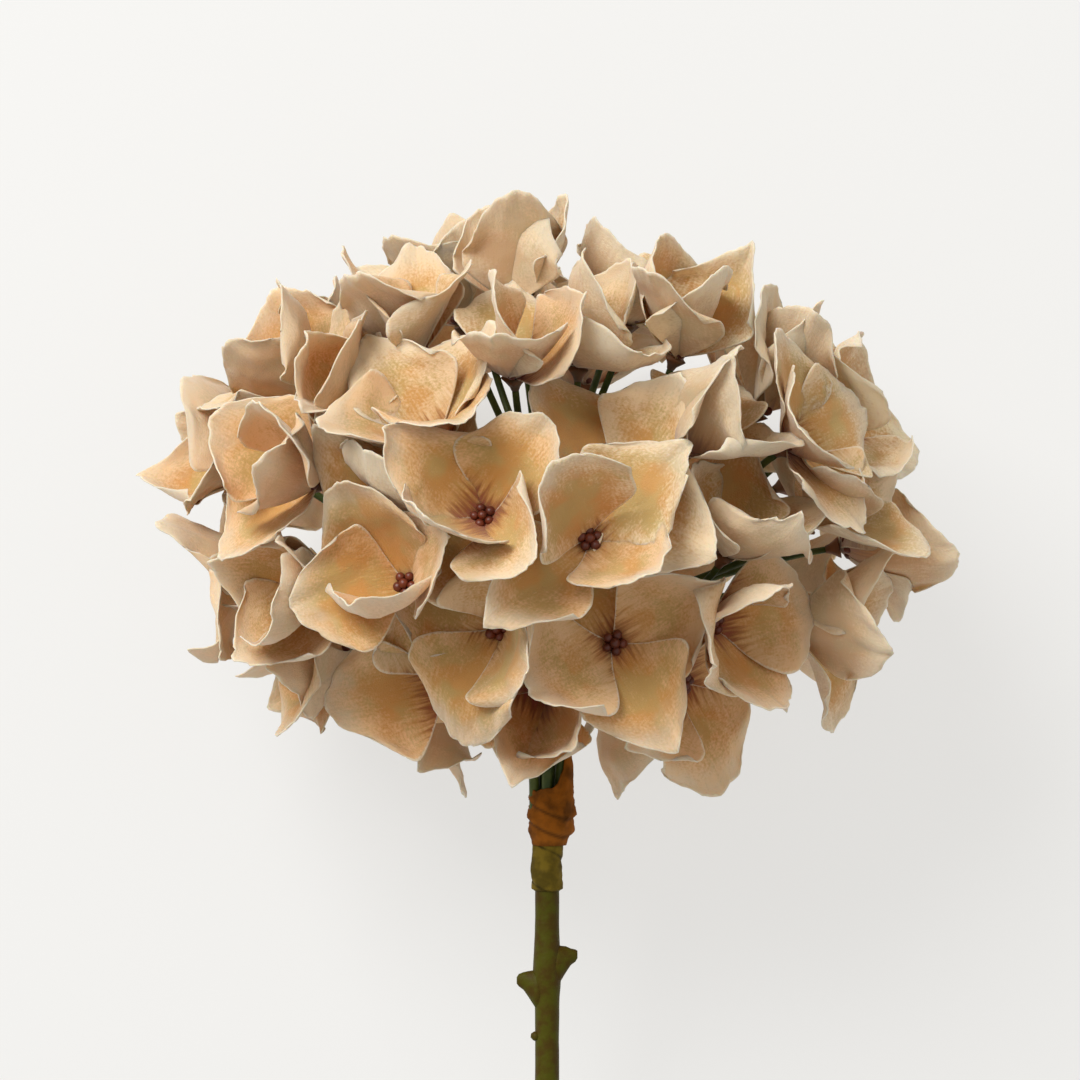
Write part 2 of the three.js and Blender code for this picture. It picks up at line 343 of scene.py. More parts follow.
@dataclass(frozen=True)
class ClothFinish:
    """Pressed and dyed cloth: peach, gold in the middle, stained at the heart, pale at the rim."""

    name: str = "petal_cloth"
    peach: tuple[float, float, float] = (0.76, 0.48, 0.255)
    cream: tuple[float, float, float] = (0.84, 0.70, 0.48)
    gold: tuple[float, float, float] = (0.53, 0.26, 0.055)
    olive: tuple[float, float, float] = (0.46, 0.30, 0.085)
    grey: tuple[float, float, float] = (0.70, 0.61, 0.47)
    heart: tuple[float, float, float] = (0.24, 0.07, 0.018)
    rose: tuple[float, float, float] = (0.28, 0.035, 0.04)
    border: tuple[float, float, float] = (0.86, 0.75, 0.59)
    washed: float = 0.0

    def make(self) -> bpy.types.Material:
        """Builds the material.

        Returns:
            The finished material.
        """
        n = Nodes(self.name)
        uv = n.place(kind="UV")
        grain = n.cloud(uv, 46.0, 5.0)
        blotch = n.cloud(uv, 5.0, 5.0)
        fibres = n.cloud(n.place(6.0, "UV"), 8.0, 4.0)
        colour = n.blend(n.value("fade"), self.peach, self.cream)
        middle = n.maths("ADD", n.value("gold"), n.maths("MULTIPLY", blotch, 1.4))
        middle = n.maths("ADD", middle, n.maths("MULTIPLY", grain, 1.5))
        middle = n.maths("ADD", middle, n.maths("MULTIPLY", fibres, 0.9))
        dyed = n.blend(n.step(n.cloud(uv, 3.1, 2.0), 0.42, 0.6), self.gold, self.olive)
        colour = n.blend(n.mask(middle, 1.9, 2.9, 0.9), colour, dyed)
        outer = n.maths("ADD", n.value("along"), n.maths("MULTIPLY", blotch, 0.6))
        colour = n.blend(n.mask(outer, 0.98, 1.4, 0.65), colour, self.grey)
        streaks = n.cloud(n.place(12.0, "UV"), 3.0, 5.0)
        reach = n.maths("MULTIPLY", n.value("stain"), 0.36)
        near = n.maths("SUBTRACT", n.value("along"), reach)
        near = n.maths("ADD", near, n.maths("MULTIPLY", streaks, 0.6))
        warm = n.mask(near, 0.52, 0.18, 0.75)
        colour = n.blend(warm, colour, self.gold)
        colour = n.blend(n.mask(near, 0.34, 0.12, 0.85), colour, self.heart)
        colour = n.blend(n.mask(near, 0.16, 0.0, 0.7), colour, self.rose)
        ragged = n.maths("ADD", n.value("rim"), n.maths("MULTIPLY", n.cloud(uv, 40.0, 4.0), 1.2))
        colour = n.blend(n.mask(ragged, 1.15, 0.75, 0.6), colour, self.border)
        if self.washed > 0:
            colour = n.blend(self.washed, colour, self.grey)
        n.feed(n.shader.inputs["Base Color"], colour)
        n.shader.inputs["Roughness"].default_value = 0.85
        n.shader.inputs["Subsurface Weight"].default_value = 0.3
        n.shader.inputs["Subsurface Radius"].default_value = (1.0, 0.55, 0.25)
        n.shader.inputs["Subsurface Scale"].default_value = 0.0015
        n.shader.inputs["Sheen Weight"].default_value = 0.2
        n.shader.inputs["Sheen Roughness"].default_value = 0.5
        felt = n.maths("ADD", n.cloud(uv, 90.0, 3.0), n.maths("MULTIPLY", fibres, 0.8))
        n.bump(felt, 0.5, 0.0004)
        return n.material


@dataclass(frozen=True)
class MouldedFinish:
    """Moulded plastic or dyed paper, mottled between two colours, with painted shade darkening its
    creases.
    """

    name: str
    base: tuple[float, float, float]
    other: tuple[float, float, float]
    roughness: float = 0.5
    patch_size: float = 180.0
    grain: float = 900.0
    grain_depth: float = 0.0002
    shine: float = 0.5
    # Strength of the painted shade in the creases.
    crease_shade: float = 0.0

    def make(self) -> bpy.types.Material:
        """Builds the material.

        Returns:
            The finished material.
        """
        n = Nodes(self.name)
        where = n.place()
        share = n.step(n.cloud(where, self.patch_size, 4.0), 0.38, 0.64)
        colour = n.blend(share, self.base, self.other)
        # Painted shade: where the crease value on the vertices is high, the colour goes towards a
        # fifth of the second colour.
        if self.crease_shade > 0:
            deep = tuple(part * 0.2 for part in self.other)
            colour = n.blend(n.maths("MULTIPLY", n.value("crease"), self.crease_shade), colour, deep)
        n.feed(n.shader.inputs["Base Color"], colour)
        n.feed(n.shader.inputs["Roughness"], self.roughness)
        n.shader.inputs["Specular IOR Level"].default_value = self.shine
        n.bump(n.cloud(where, self.grain, 3.0), 0.5, self.grain_depth)
        return n.material


@dataclass(frozen=True)
class SteelFinish:
    """Drawn steel wire."""

    name: str = "wire_steel"

    def make(self) -> bpy.types.Material:
        """Builds the material.

        Returns:
            The finished material.
        """
        n = Nodes(self.name)
        tint = n.blend(n.cloud(n.place(), 600.0), (0.35, 0.36, 0.37), (0.55, 0.56, 0.57))
        n.feed(n.shader.inputs["Base Color"], tint)
        n.shader.inputs["Metallic"].default_value = 1.0
        n.shader.inputs["Roughness"].default_value = 0.38
        return n.material


# ---------------------------------------------------------------- where things are


@dataclass(frozen=True)
class StemFrame:
    """The flower's own directions, taken from the wire that runs up its stem.

    The middle of the head is head_up mm above the wire's foot.
    """

    foot: Vector
    side: Vector
    up: Vector
    front: Vector
    head_up: float = 404.4

    @classmethod
    def from_wire(cls, wire: bpy.types.Object) -> StemFrame:
        """Finds the frame from the wire's two ends.

        Args:
            wire: The wire's node.

        Returns:
            The frame, with its foot at the wire's lower end.
        """
        points = [v.co.copy() for v in wire.data.vertices]
        end = 3 * MM
        low_y = min(p.y for p in points)
        high_y = max(p.y for p in points)
        low = [p for p in points if p.y < low_y + end]
        high = [p for p in points if p.y > high_y - end]
        foot = sum(low, Vector()) / len(low)
        top = sum(high, Vector()) / len(high)
        up = (top - foot).normalized()
        side = Vector((1, 0, 0))
        return cls(foot, side, up, side.cross(up).normalized())

    def at(self, x: float, y: float, z: float) -> Vector:
        """A place given in mm from the middle of the head: right, up the stem and to the front."""
        return self.foot + (self.side * x + self.up * (y + self.head_up) + self.front * z) * MM

    def line(self, low: float, top: float, rows: int) -> list[Vector]:
        """Evenly spaced places on the stem's middle line, from low to top in mm."""
        return [self.at(0, low + (top - low) * index / rows, 0) for index in range(rows + 1)]


@dataclass(frozen=True)
class Seat:
    """Where one floret sits, read from its solid."""

    node: str
    hub: Vector
    axis: Vector
    tips: tuple[Vector, ...]

    @classmethod
    def from_node(cls, node: bpy.types.Object) -> Seat:
        """Reads a floret's hub, axis and petal tips.

        Args:
            node: The floret's solid.

        Returns:
            The seat.
        """
        mesh = bmesh.new()
        mesh.from_mesh(node.data)
        bmesh.ops.remove_doubles(mesh, verts=mesh.verts, dist=1e-6)
        busiest = sorted(mesh.verts, key=lambda v: -len(v.link_edges))[:2]
        first, second = (v.co.copy() for v in busiest)
        middle = sum((v.co for v in mesh.verts), Vector()) / len(mesh.verts)
        base, top = sorted((first, second), key=lambda p: -(p - middle).length)
        axis = (top - base).normalized()
        found: list[Vector] = []
        for vert in sorted(mesh.verts, key=lambda v: -(v.co - base).length):
            away = vert.co - base
            flat = (away - axis * away.dot(axis)).normalized()
            if all(flat.dot(old) < 0.6 for old in found):
                found.append(flat)
            if len(found) == 4:
                break
        mesh.free()
        return cls(node.name, base, axis, tuple(found))


# ---------------------------------------------------------------- petals


@dataclass(frozen=True)
class Petal:
    """One petal's cut and how it was pressed. Lengths in mm, angles in degrees."""

    hub: Vector
    axis: Vector
    out: Vector
    seed: int
    length: float = 28.0
    width: float = 25.0
    slope: float = 40.0
    curl: float = 20.0
    cup: float = 0.4
    twist: float = 9.0
    wave: float = 1.1
    point: float = 0.5
    drift: float = 0.0
    widest: float = 0.6
    roll: float = 0.0
    hook: float = 0.0

    def place(self, along: float, across: float) -> Vector:
        """A point of the petal's middle surface.

        Args:
            along: 0 at the hub to 1 at the tip.
            across: -1 at one side to 1 at the other.

        Returns:
            The point in the row frame, in metres.
        """
        jitter = noise.noise(Vector((along * 3.1, across * 3.7, self.seed * 1.7)))
        u = self._reach(along, across, jitter)
        first = math.radians(self.slope)
        bend = math.radians(self.curl) + 1e-4
        tilt = first + bend * u
        radius = 0.7 + self.length * (math.sin(tilt) - math.sin(first)) / bend
        height = self.length * (math.cos(first) - math.cos(tilt)) / bend
        side = self.half_width(along) * across * (1 + 0.06 * jitter)
        reach = self.width / 2
        lift = self.cup * (side / reach) ** 2 * reach * (1.1 - 0.45 * along)
        lift -= 0.3 * math.exp(-((across / 0.14) ** 2)) * along
        lift += abs(self.roll) * smooth(0.5, 1.0, across * self._hand()) * along
        lift += self.hook * smooth(0.6, 1.0, along) ** 1.5
        lift += self._ripple(along, across)
        side += self.drift * along**2
        turn = math.radians(self.twist) * (0.3 + 0.7 * along)
        slide = side * math.cos(turn) - lift * math.sin(turn)
        lift = side * math.sin(turn) + lift * math.cos(turn)
        cross = self.axis.cross(self.out)
        spot = self.out * (radius - lift * math.sin(tilt))
        spot = spot + self.axis * (height + lift * math.cos(tilt)) + cross * slide
        return self.hub + spot * MM

    def _hand(self) -> float:
        """Side whose edge is rolled in: 1 right or -1 left."""
        return math.copysign(1.0, self.roll)

    def _reach(self, along: float, across: float, jitter: float) -> float:
        """How far along the petal a point lies once the tip is cut to shape.

        Args:
            along: 0 at the hub to 1 at the tip.
            across: -1 at one side to 1 at the other.
            jitter: Slow unevenness of the cut.

        Returns:
            The share of the petal's length.
        """
        drop = 0.37 + 0.13 * self.point
        power = 2.4 - 0.9 * self.point
        u = along * (1 - drop * abs(across) ** power * along)
        u *= 1 + 0.04 * jitter
        u += 0.07 * self.point * math.exp(-((across / 0.18) ** 2)) * along**8
        edge = max(smooth(0.88, 1.0, abs(across)), smooth(0.88, 1.0, along))
        nick = noise.noise(Vector((along * 15.0, across * 13.0, self.seed * 2.3)))
        tear = max(0.0, noise.noise(Vector((along * 5.0, across * 6.0, self.seed * 3.1))) - 0.34)
        return u * (1 - edge * (0.012 * nick + 0.12 * tear))

    def _ripple(self, along: float, across: float) -> float:
        """Height of the waves that pressing leaves near the rim.

        Args:
            along: 0 at the hub to 1 at the tip.
            across: -1 at one side to 1 at the other.

        Returns:
            The height in mm.
        """
        phase = self.seed * 1.3 + (2.1 if across > 0 else 0.0)
        along_side = math.sin(phase + along * (6.0 + 2.0 * math.sin(self.seed)))
        height = self.wave * along_side * abs(across) ** 1.6 * along
        height += self.wave * 0.6 * math.sin(phase * 1.9 + across * 4.0) * along**4
        crumple = noise.noise(Vector((along * 4.0, across * 3.0, self.seed * 0.9 + 40)))
        height += 1.1 * crumple * along
        fine = noise.noise(Vector((along * 13.0, across * 11.0, self.seed + 80.0)))
        return height + 0.28 * fine * along

    def half_width(self, along: float) -> float:
        """Half the petal's width at a share of its length.

        Args:
            along: 0 at the hub to 1 at the tip.

        Returns:
            Half the width in mm.
        """
        if along < self.widest:
            share = 0.08 + 0.92 * math.sin(along / self.widest * math.pi / 2) ** 1.1
        else:
            rest = (along - self.widest) / (1 - self.widest)
            share = 1 - (0.08 + 0.1 * self.point) * rest**2
        return self.width / 2 * share

    def coarse(self, start: float = 0.14, steps: int = 12) -> BVHTree:
        """A rough copy of the middle surface, for finding crossings.

        Args:
            start: Share of the length at which the copy starts.
            steps: Cells each way.

        Returns:
            Its search tree.
        """
        points = []
        for row in range(steps + 1):
            for column in range(steps + 1):
                along = start + (1 - start) * row / steps
                points.append(self.place(along, 2 * column / steps - 1))
        faces = []
        width = steps + 1
        for row in range(steps):
            for column in range(steps):
                corner = row * width + column
                faces.append((corner, corner + 1, corner + width + 1, corner + width))
        return BVHTree.FromPolygons(points, faces)


@dataclass
class PetalSettler:
    """Lays petals one after another, each in the clearest pose that a coarse test finds.

    The test compares rough copies of petals whose middles are within the length near. It
    leaves out the hubs and the petals of the same floret, so finished petals can still cross.
    Lengths are in metres. The point of the wrap stands between wrap_left and wrap_right mm
    to the right of the head's middle, up to wrap_top mm from it. Slopes are in degrees.
    """

    table: float
    frame: StemFrame
    head: Vector
    hearts: list[tuple[Vector, str]]
    made: list[tuple[Vector, str, BVHTree]]
    crossings: int = 0
    near: float = 0.036
    heart: float = 0.006
    wrap_left: float = 3.0
    wrap_right: float = 12.0
    wrap_top: float = -60.5
    flattest: float = -10.0
    steepest: float = 78.0

    def settle(self, wanted: Petal, owner: str) -> Petal:
        """Opens, closes or turns a petal to cross the ones already laid as little as it can.

        Args:
            wanted: The petal as it was pressed.
            owner: Name of its floret.

        Returns:
            The petal in the pose with the fewest crossings nearest to that.
        """
        best, fewest, tree = wanted, 10**6, None
        for slope, twist, curl in self._changes():
            petal = replace(
                wanted,
                slope=wanted.slope + slope,
                twist=wanted.twist + twist,
                curl=wanted.curl + curl,
            )
            if not self.flattest < petal.slope < self.steepest:
                continue
            tree_here = petal.coarse()
            count = self._count(petal, tree_here, owner)
            if count < fewest:
                best, fewest, tree = petal, count, tree_here
            if count == 0:
                break
        self.crossings += fewest > 0
        self.made.append((best.place(0.6, 0), owner, tree))
        return best

    def _changes(self) -> list[tuple[float, float, float]]:
        """Poses to try, nearest to the pressed one first.

        Returns:
            Changes of slope, twist and curl in degrees.
        """
        tries = [
            (float(slope), float(twist), float(curl))
            for slope in range(-45, 50, 5)
            for twist in (0, 12, -12, 24, -24)
            for curl in (0, -18, 14)
        ]
        return sorted(tries, key=lambda t: abs(t[0]) + 0.9 * abs(t[1]) + 0.5 * abs(t[2]))

    def _count(self, petal: Petal, tree: BVHTree, owner: str) -> int:
        """How much a petal crosses what is there already.

        Args:
            petal: The petal.
            tree: Its search tree.
            owner: Name of its floret.

        Returns:
            The number of crossing faces, and of points under the table.
        """
        count = 0
        middle = petal.place(0.6, 0)
        for across in (-1.0, -0.5, 0.0, 0.5, 1.0):
            for along in (0.6, 0.8, 1.0):
                spot = petal.place(along, across)
                count += (spot.z < self.table) + self._by_wrap(spot) + self._in_heart(spot, owner)
        for place, other, there in self.made:
            if (place - middle).length < self.near and other != owner:
                count += len(tree.overlap(there))
        return count

    def _by_wrap(self, spot: Vector) -> bool:
        """Whether a place is where the point of the wrap stands.

        Args:
            spot: The place.

        Returns:
            True where no petal may hang.
        """
        away = (spot - self.head) / MM
        beside = self.wrap_left < away.dot(self.frame.side) < self.wrap_right
        return beside and away.dot(self.frame.up) < self.wrap_top

    def _in_heart(self, spot: Vector, owner: str) -> bool:
        """Whether a point comes too near the beads of another floret."""
        others = (place for place, other in self.hearts if other != owner)
        return any((spot - place).length < self.heart for place in others)


@dataclass
class Floret:
    """Four cloth petals on one hub."""

    seat: Seat
    number: int
    petals: list[Petal]
    fade: float = 0.3
    stain: float = 0.5
    cells: int = 28
    cloth: float = 0.3

    def build(self, table: float) -> bpy.types.Object:
        """Makes the cloth of the floret.

        Args:
            table: Height under which no cloth may go, in metres.

        Returns:
            The piece.
        """
        mesh = bmesh.new()
        uv = mesh.loops.layers.uv.new("weave")
        values: list[tuple[float, float, float, float]] = []
        for index, petal in enumerate(self.petals):
            grid = bmesh.ops.create_grid(
                mesh, x_segments=self.cells, y_segments=self.cells, size=1.0
            )["verts"]
            spots = {}
            for vert in grid:
                spots[vert] = ((vert.co.y + 1) / 2, vert.co.x)
            for vert, (along, across) in spots.items():
                vert.co = petal.place(along, across)
                vert.co.z = max(vert.co.z, table)
                values.append((along, self._rim(petal, along, across), index, across))
            cells = list({f for v in grid for f in v.link_faces})
            self._turn_up(mesh, cells, petal)
            for face in cells:
                for loop in face.loops:
                    along, across = spots[loop.vert]
                    side = petal.half_width(along) * across / petal.length
                    loop[uv].uv = (side + self.number * 1.37 + index * 0.41, along + index * 1.3)
        made = finish_piece(f"floret_cloth_{self.number:02d}", mesh, solid=False)
        rng = random.Random(self.number)
        fade = [min(1.0, max(0.0, self.fade + rng.uniform(-0.25, 0.25))) for _ in self.petals]
        dye = [rng.uniform(-0.3, 0.35) for _ in self.petals]
        write_value(made, "along", [v[0] for v in values])
        write_value(made, "rim", [v[1] for v in values])
        write_value(made, "fade", [fade[int(v[2])] for v in values])
        write_value(made, "gold", [self._gold(v[0], v[3]) + dye[int(v[2])] for v in values])
        write_value(made, "stain", [self.stain for _ in values])
        solid = made.modifiers.new("cloth_thickness", "SOLIDIFY")
        solid.thickness = self.cloth * MM
        solid.offset = 0.0
        solid.use_even_offset = False
        solid.material_offset = 1
        solid.material_offset_rim = 2
        return made

    def _turn_up(
        self, mesh: bmesh.types.BMesh, cells: list[bmesh.types.BMFace], petal: Petal
    ) -> None:
        """Turns a petal's face side to the floret's heart.

        Args:
            mesh: The floret so far.
            cells: The petal's faces.
            petal: The petal.
        """
        bmesh.ops.recalc_face_normals(mesh, faces=cells)
        inward = petal.axis - petal.out * 0.5
        if sum(cell.normal.dot(inward) for cell in cells) < 0:
            bmesh.ops.reverse_faces(mesh, faces=cells)

    def _gold(self, along: float, across: float) -> float:
        """How much golden dye a place of a petal took, from about 0 to 1."""
        away = ((along - 0.48) / 0.4) ** 2 + (across / 0.85) ** 2
        return math.exp(-away)

    def _rim(self, petal: Petal, along: float, across: float) -> float:
        """Distance from the cut edge, in mm.

        Args:
            petal: The petal.
            along: 0 at the hub to 1 at the tip.
            across: -1 at one side to 1 at the other.

        Returns:
            The distance, at most 4 mm.
        """
        from_side = (1 - abs(across)) * petal.half_width(along)
        from_tip = (1 - along) * petal.length
        return min(from_side, from_tip, 4.0)

    def dress(self, made: bpy.types.Object, cloth: list[bpy.types.Material]) -> None:
        """Gives the piece its place in the flower and its finish.

        Args:
            made: The piece.
            cloth: Face, back and cut-edge materials.
        """
        for material in cloth:
            made.data.materials.append(material)
        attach(made, "root")
        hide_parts(self.seat.node)


@dataclass
class BeadCentre:
    """A cluster of little beads in the heart of a floret."""

    seat: Seat
    number: int
    bead: float = 1.25
    ring: float = 1.95
    beads: int = 5
    middle_height: float = 2.3
    ring_height: float = 1.7

    def build(self) -> bpy.types.Object:
        """Makes the beads.

        Returns:
            The piece.
        """
        rng = random.Random(self.number * 7)
        mesh = bmesh.new()
        out = self.seat.tips[0]
        cross = self.seat.axis.cross(out)
        spots = [(0.0, 0.0, self.middle_height)]
        start = rng.random() * 6
        for index in range(self.beads):
            turn = start + index * math.tau / self.beads
            height = self.ring_height + rng.uniform(-0.15, 0.25)
            spots.append((math.cos(turn), math.sin(turn), height))
        for x, y, height in spots:
            middle = self.seat.hub + (
                out * x * self.ring + cross * y * self.ring + self.seat.axis * height
            ) * MM
            bmesh.ops.create_icosphere(
                mesh,
                subdivisions=2,
                radius=self.bead * rng.uniform(0.85, 1.08) * MM,
                matrix=Matrix.Translation(middle),
            )
        return finish_piece(f"bead_centre_{self.number:02d}", mesh)


@dataclass
class Calyx:
    """The small rust cup under a floret, with four pointed lobes."""

    seat: Seat
    number: int
    height: float = 3.4
    radius: float = 2.5

    def build(self) -> bpy.types.Object:
        """Makes the cup.

        Returns:
            The piece.
        """
        mesh = bmesh.new()
        foot = self.seat.hub - self.seat.axis * (self.height + 0.25) * MM
        path = [foot + self.seat.axis * self.height * t * MM for t in (0, 0.3, 0.6, 0.85, 1.0)]
        radii = [r * MM for r in (0.95, 1.25, 1.9, 2.35, self.radius)]
        verts = add_tube(mesh, path, radii, 16)
        cross = self.seat.axis.cross(self.seat.tips[0])
        for vert in verts:
            away = vert.co - foot
            up = away.dot(self.seat.axis) / (self.height * MM)
            flat = away - self.seat.axis * away.dot(self.seat.axis)
            turn = math.atan2(flat.dot(cross), flat.dot(self.seat.tips[0]))
            vert.co += flat * 0.28 * up * up * math.cos(4 * turn)
        return finish_piece(f"calyx_{self.number:02d}", mesh)


@dataclass
class Spray:
    """One moulded spray: a branch that forks into a pedicel for each of its florets."""

    node: str
    seats: list[Seat]
    foot: Vector
    bend: Vector
    fork: Vector
    branch: float = 1.3
    knot: float = 1.95
    pedicel: float = 0.85

    def build(self) -> bpy.types.Object:
        """Makes the branch and its pedicels.

        Returns:
            The piece.
        """
        mesh = bmesh.new()
        up = (self.bend - self.foot).normalized()
        path = [self.foot, self.foot + up * 0.01]
        path += curve_between(self.foot + up * 0.012, self.bend + up * 0.004, self.fork, 10)
        radii = [self.branch * MM * (1.0 - 0.12 * i / len(path)) for i in range(len(path))]
        add_tube(mesh, path, radii, 12)
        there = Matrix.Translation(self.fork)
        bmesh.ops.create_icosphere(mesh, subdivisions=2, radius=self.knot * MM, matrix=there)
        for seat in self.seats:
            neck = seat.hub - seat.axis * 3.3 * MM
            low = seat.hub - seat.axis * 16 * MM
            line = curve_between(self.fork, low, neck, 9)
            thick = [self.pedicel * MM * (1.25 - 0.3 * i / 9) for i in range(10)]
            add_tube(mesh, line, thick, 8)
        return finish_piece(self.node.replace("spray", "moulded_spray"), mesh)


# ---------------------------------------------------------------- the stem and its wraps


@dataclass
class MainStem:
    """The moulded olive stem, with its node, stubs and nub."""

    frame: StemFrame
    radius: float = 2.9
    bore: float = 1.5
    bore_depth: float = 4.0
    low: float = -405.0
    top: float = -83.0
    node: float = -115.0

    def build(self) -> bpy.types.Object:
        """Makes the stem.

        Returns:
            The piece.
        """
        mesh = bmesh.new()
        rows = 150
        heights = [self.low + (self.top - self.low) * i / rows for i in range(rows + 1)]
        path = self.frame.line(self.low, self.top, rows)
        radii = []
        for y in heights:
            swell = 0.55 * math.exp(-(((y - self.node) / 5.5) ** 2))
            swell += 0.10 * noise.noise(Vector((0, y * 0.11, 3)))
            radii.append((self.radius + swell) * MM)
        verts = add_tube(mesh, path, radii, 28)
        for vert in verts:
            grain = noise.noise(vert.co * 260) + 0.8 * noise.noise(Vector((5, vert.co.y * 900, 1)))
            away = vert.co - self.frame.foot
            flat = away - self.frame.up * away.dot(self.frame.up)
            if flat.length > 1e-5:
                vert.co += flat.normalized() * grain * 0.07 * MM
        self._bore(mesh)
        self._stub(mesh, -1, self.node - 2.4)
        self._stub(mesh, 1, self.node + 3.4)
        nub = [self.frame.at(-x, self.node - 16.4 + x * 0.15, 0.6) for x in (2.2, 3.2, 3.9)]
        add_tube(mesh, nub, [1.3 * MM, 1.1 * MM, 0.5 * MM], 10)
        return finish_piece("olive_stem", mesh)

    def _bore(self, mesh: bmesh.types.BMesh) -> None:
        """Sinks the bore in the cut end.

        Args:
            mesh: The stem so far.
        """
        foot = self.frame.at(0, self.low, 0)
        end = min(
            (f for f in mesh.faces if len(f.verts) > 8),
            key=lambda f: (f.calc_center_median() - foot).length,
        )
        bmesh.ops.inset_region(mesh, faces=[end], thickness=(self.radius - self.bore) * MM)
        lifted = bmesh.ops.extrude_face_region(mesh, geom=[end])["geom"]
        verts = [v for v in lifted if isinstance(v, bmesh.types.BMVert)]
        bmesh.ops.translate(mesh, verts=verts, vec=self.frame.up * self.bore_depth * MM)
        bmesh.ops.delete(mesh, geom=[end], context="FACES_ONLY")

    def _stub(self, mesh: bmesh.types.BMesh, side: int, height: float) -> None:
        """Adds the lump a leaf was cut from, tall at the stem and blunt at its tip.

        Args:
            mesh: The stem so far.
            side: -1 left or 1 right.
            height: Height of its tip in mm from the head's middle.
        """
        spots = [(1.2, 4.9), (2.7, 4.8), (3.4, 4.1), (4.5, 3.1), (5.7, 2.2), (6.8, 1.6), (7.3, 0.9)]
        path = [self.frame.at(side * x, height, 0) for x, _ in spots]
        lump = add_tube(mesh, path, [r * MM for _, r in spots], 18)
        for vert in lump:
            away = vert.co - path[0]
            out = away.dot(self.frame.side) * side / MM
            vert.co -= self.frame.front * away.dot(self.frame.front) * 0.45
            vert.co -= self.frame.up * 2.6 * MM * (1 - smooth(0.6, 5.6, out))
            vert.co += self.frame.up * 0.6 * MM * noise.noise(vert.co * 420)


@dataclass
class TapeWrap:
    """Olive tape wound up the stem in slanting laps."""

    frame: StemFrame
    inner: float = 3.2
    thickness: float = 0.8
    low: float = -96.1
    top: float = -84.6
    pitch: float = 10.0

    def build(self) -> bpy.types.Object:
        """Makes the wound tape.

        Returns:
            The piece.
        """
        mesh = bmesh.new()
        rows = 80
        path = self.frame.line(self.low, self.top, rows)
        verts = add_tube(mesh, path, [self.inner * MM] * (rows + 1), 48)
        open_ends(mesh)
        base = self.frame.at(0, self.low, 0)
        crease_shade_masks = []
        for vert in verts:
            away = vert.co - base
            up = away.dot(self.frame.up)
            flat = away - self.frame.up * up
            turn = math.atan2(flat.dot(self.frame.side), flat.dot(self.frame.front)) / math.tau
            lap = (up / MM / self.pitch + turn) % 1.0
            ends = smooth(0.0, 0.5, up / MM) * smooth(0.0, 0.5, self.top - self.low - up / MM)
            step = 0.45 + 0.65 * (1 - lap) ** 0.7 - 0.6 * math.exp(-((lap / 0.07) ** 2))
            crease = 0.4 * noise.noise(vert.co * 300) + 0.2 * noise.noise(vert.co * 900)
            grown = (self.inner - 0.1 + self.thickness * (step + crease) * ends) * MM
            vert.co = base + self.frame.up * up + flat.normalized() * grown
            # Painted shade: the crease value marks the edge of each lap, where the step between
            # laps lies, and the finish darkens it.
            near = min(lap, 1 - lap) + 0.04 * noise.noise(vert.co * 500)
            crease_shade_masks.append(math.exp(-((near / 0.035) ** 2)))
        made = finish_piece("olive_tape", mesh)
        write_value(made, "crease", crease_shade_masks)
        thicken(made, 0.25)
        return made


@dataclass
class BractWrap:
    """The crinkled rust wrap round the branch feet, drawn up to a point on one side."""

    frame: StemFrame
    low: float = -85.2
    length: float = 13.9
    inner: float = 5.0
    flap: float = 9.0
    flap_turn: float = 58.0

    def build(self) -> bpy.types.Object:
        """Makes the wrap as a closed skin.

        Returns:
            The piece.
        """
        mesh = bmesh.new()
        rows = 30
        path = self.frame.line(self.low, self.low + self.length, rows)
        verts = add_tube(mesh, path, [self.inner * MM] * (rows + 1), 64)
        foot = path[0]
        open_ends(mesh)
        crease_shade_masks = [self._shape(vert, foot) for vert in verts]
        made = finish_piece("rust_bract", mesh)
        write_value(made, "crease", crease_shade_masks)
        thicken(made, 0.5)
        return made

    def _shape(self, vert: bmesh.types.BMVert, foot: Vector) -> float:
        """Moves one point of a plain tube to its place in the wrap.

        Args:
            vert: The point.
            foot: Middle of the wrap's lower end.

        Returns:
            How deep in a crease it lies, from 0 to 1, which is how much painted shade it gets.
        """
        away = vert.co - foot
        up = away.dot(self.frame.up) / MM
        flat = (away - self.frame.up * away.dot(self.frame.up)).normalized()
        turn = math.atan2(flat.dot(self.frame.side), flat.dot(self.frame.front))
        share = up / self.length
        point = max(0.0, math.cos(turn - math.radians(self.flap_turn))) ** 9
        ragged = 0.7 * noise.noise(Vector((math.cos(turn) * 3, math.sin(turn) * 3, 5)))
        top = max(0.0, share) ** 1.5
        up += (point * self.flap + ragged + 0.8 * math.sin(turn)) * top
        grown = 4.1 + 1.15 * smooth(0.0, 0.3, share) - 0.3 * smooth(0.7, 1.0, share)
        folds = 0.34 * noise.noise(Vector((turn * 2.4, up * 0.9, 1)))
        folds += 0.16 * noise.noise(Vector((turn * 9, up * 2.2, 4)))
        slant = up + 2.4 * math.sin(turn + 0.6)
        folds += 0.9 * (smooth(4.4, 4.9, slant) - smooth(4.9, 8.5, slant))
        folds += 0.7 * (smooth(8.8, 9.2, slant) - smooth(9.2, 12.5, slant))
        shift = self.frame.side * (0.55 + 0.7 * smooth(0.1, 0.6, share))
        vert.co = foot + self.frame.up * up * MM + (flat * (grown + folds) + shift) * MM
        # Painted shade along the two slanting fold lines.
        near = min(abs(slant - 4.4), abs(slant - 8.8))
        return math.exp(-((near / 0.45) ** 2))


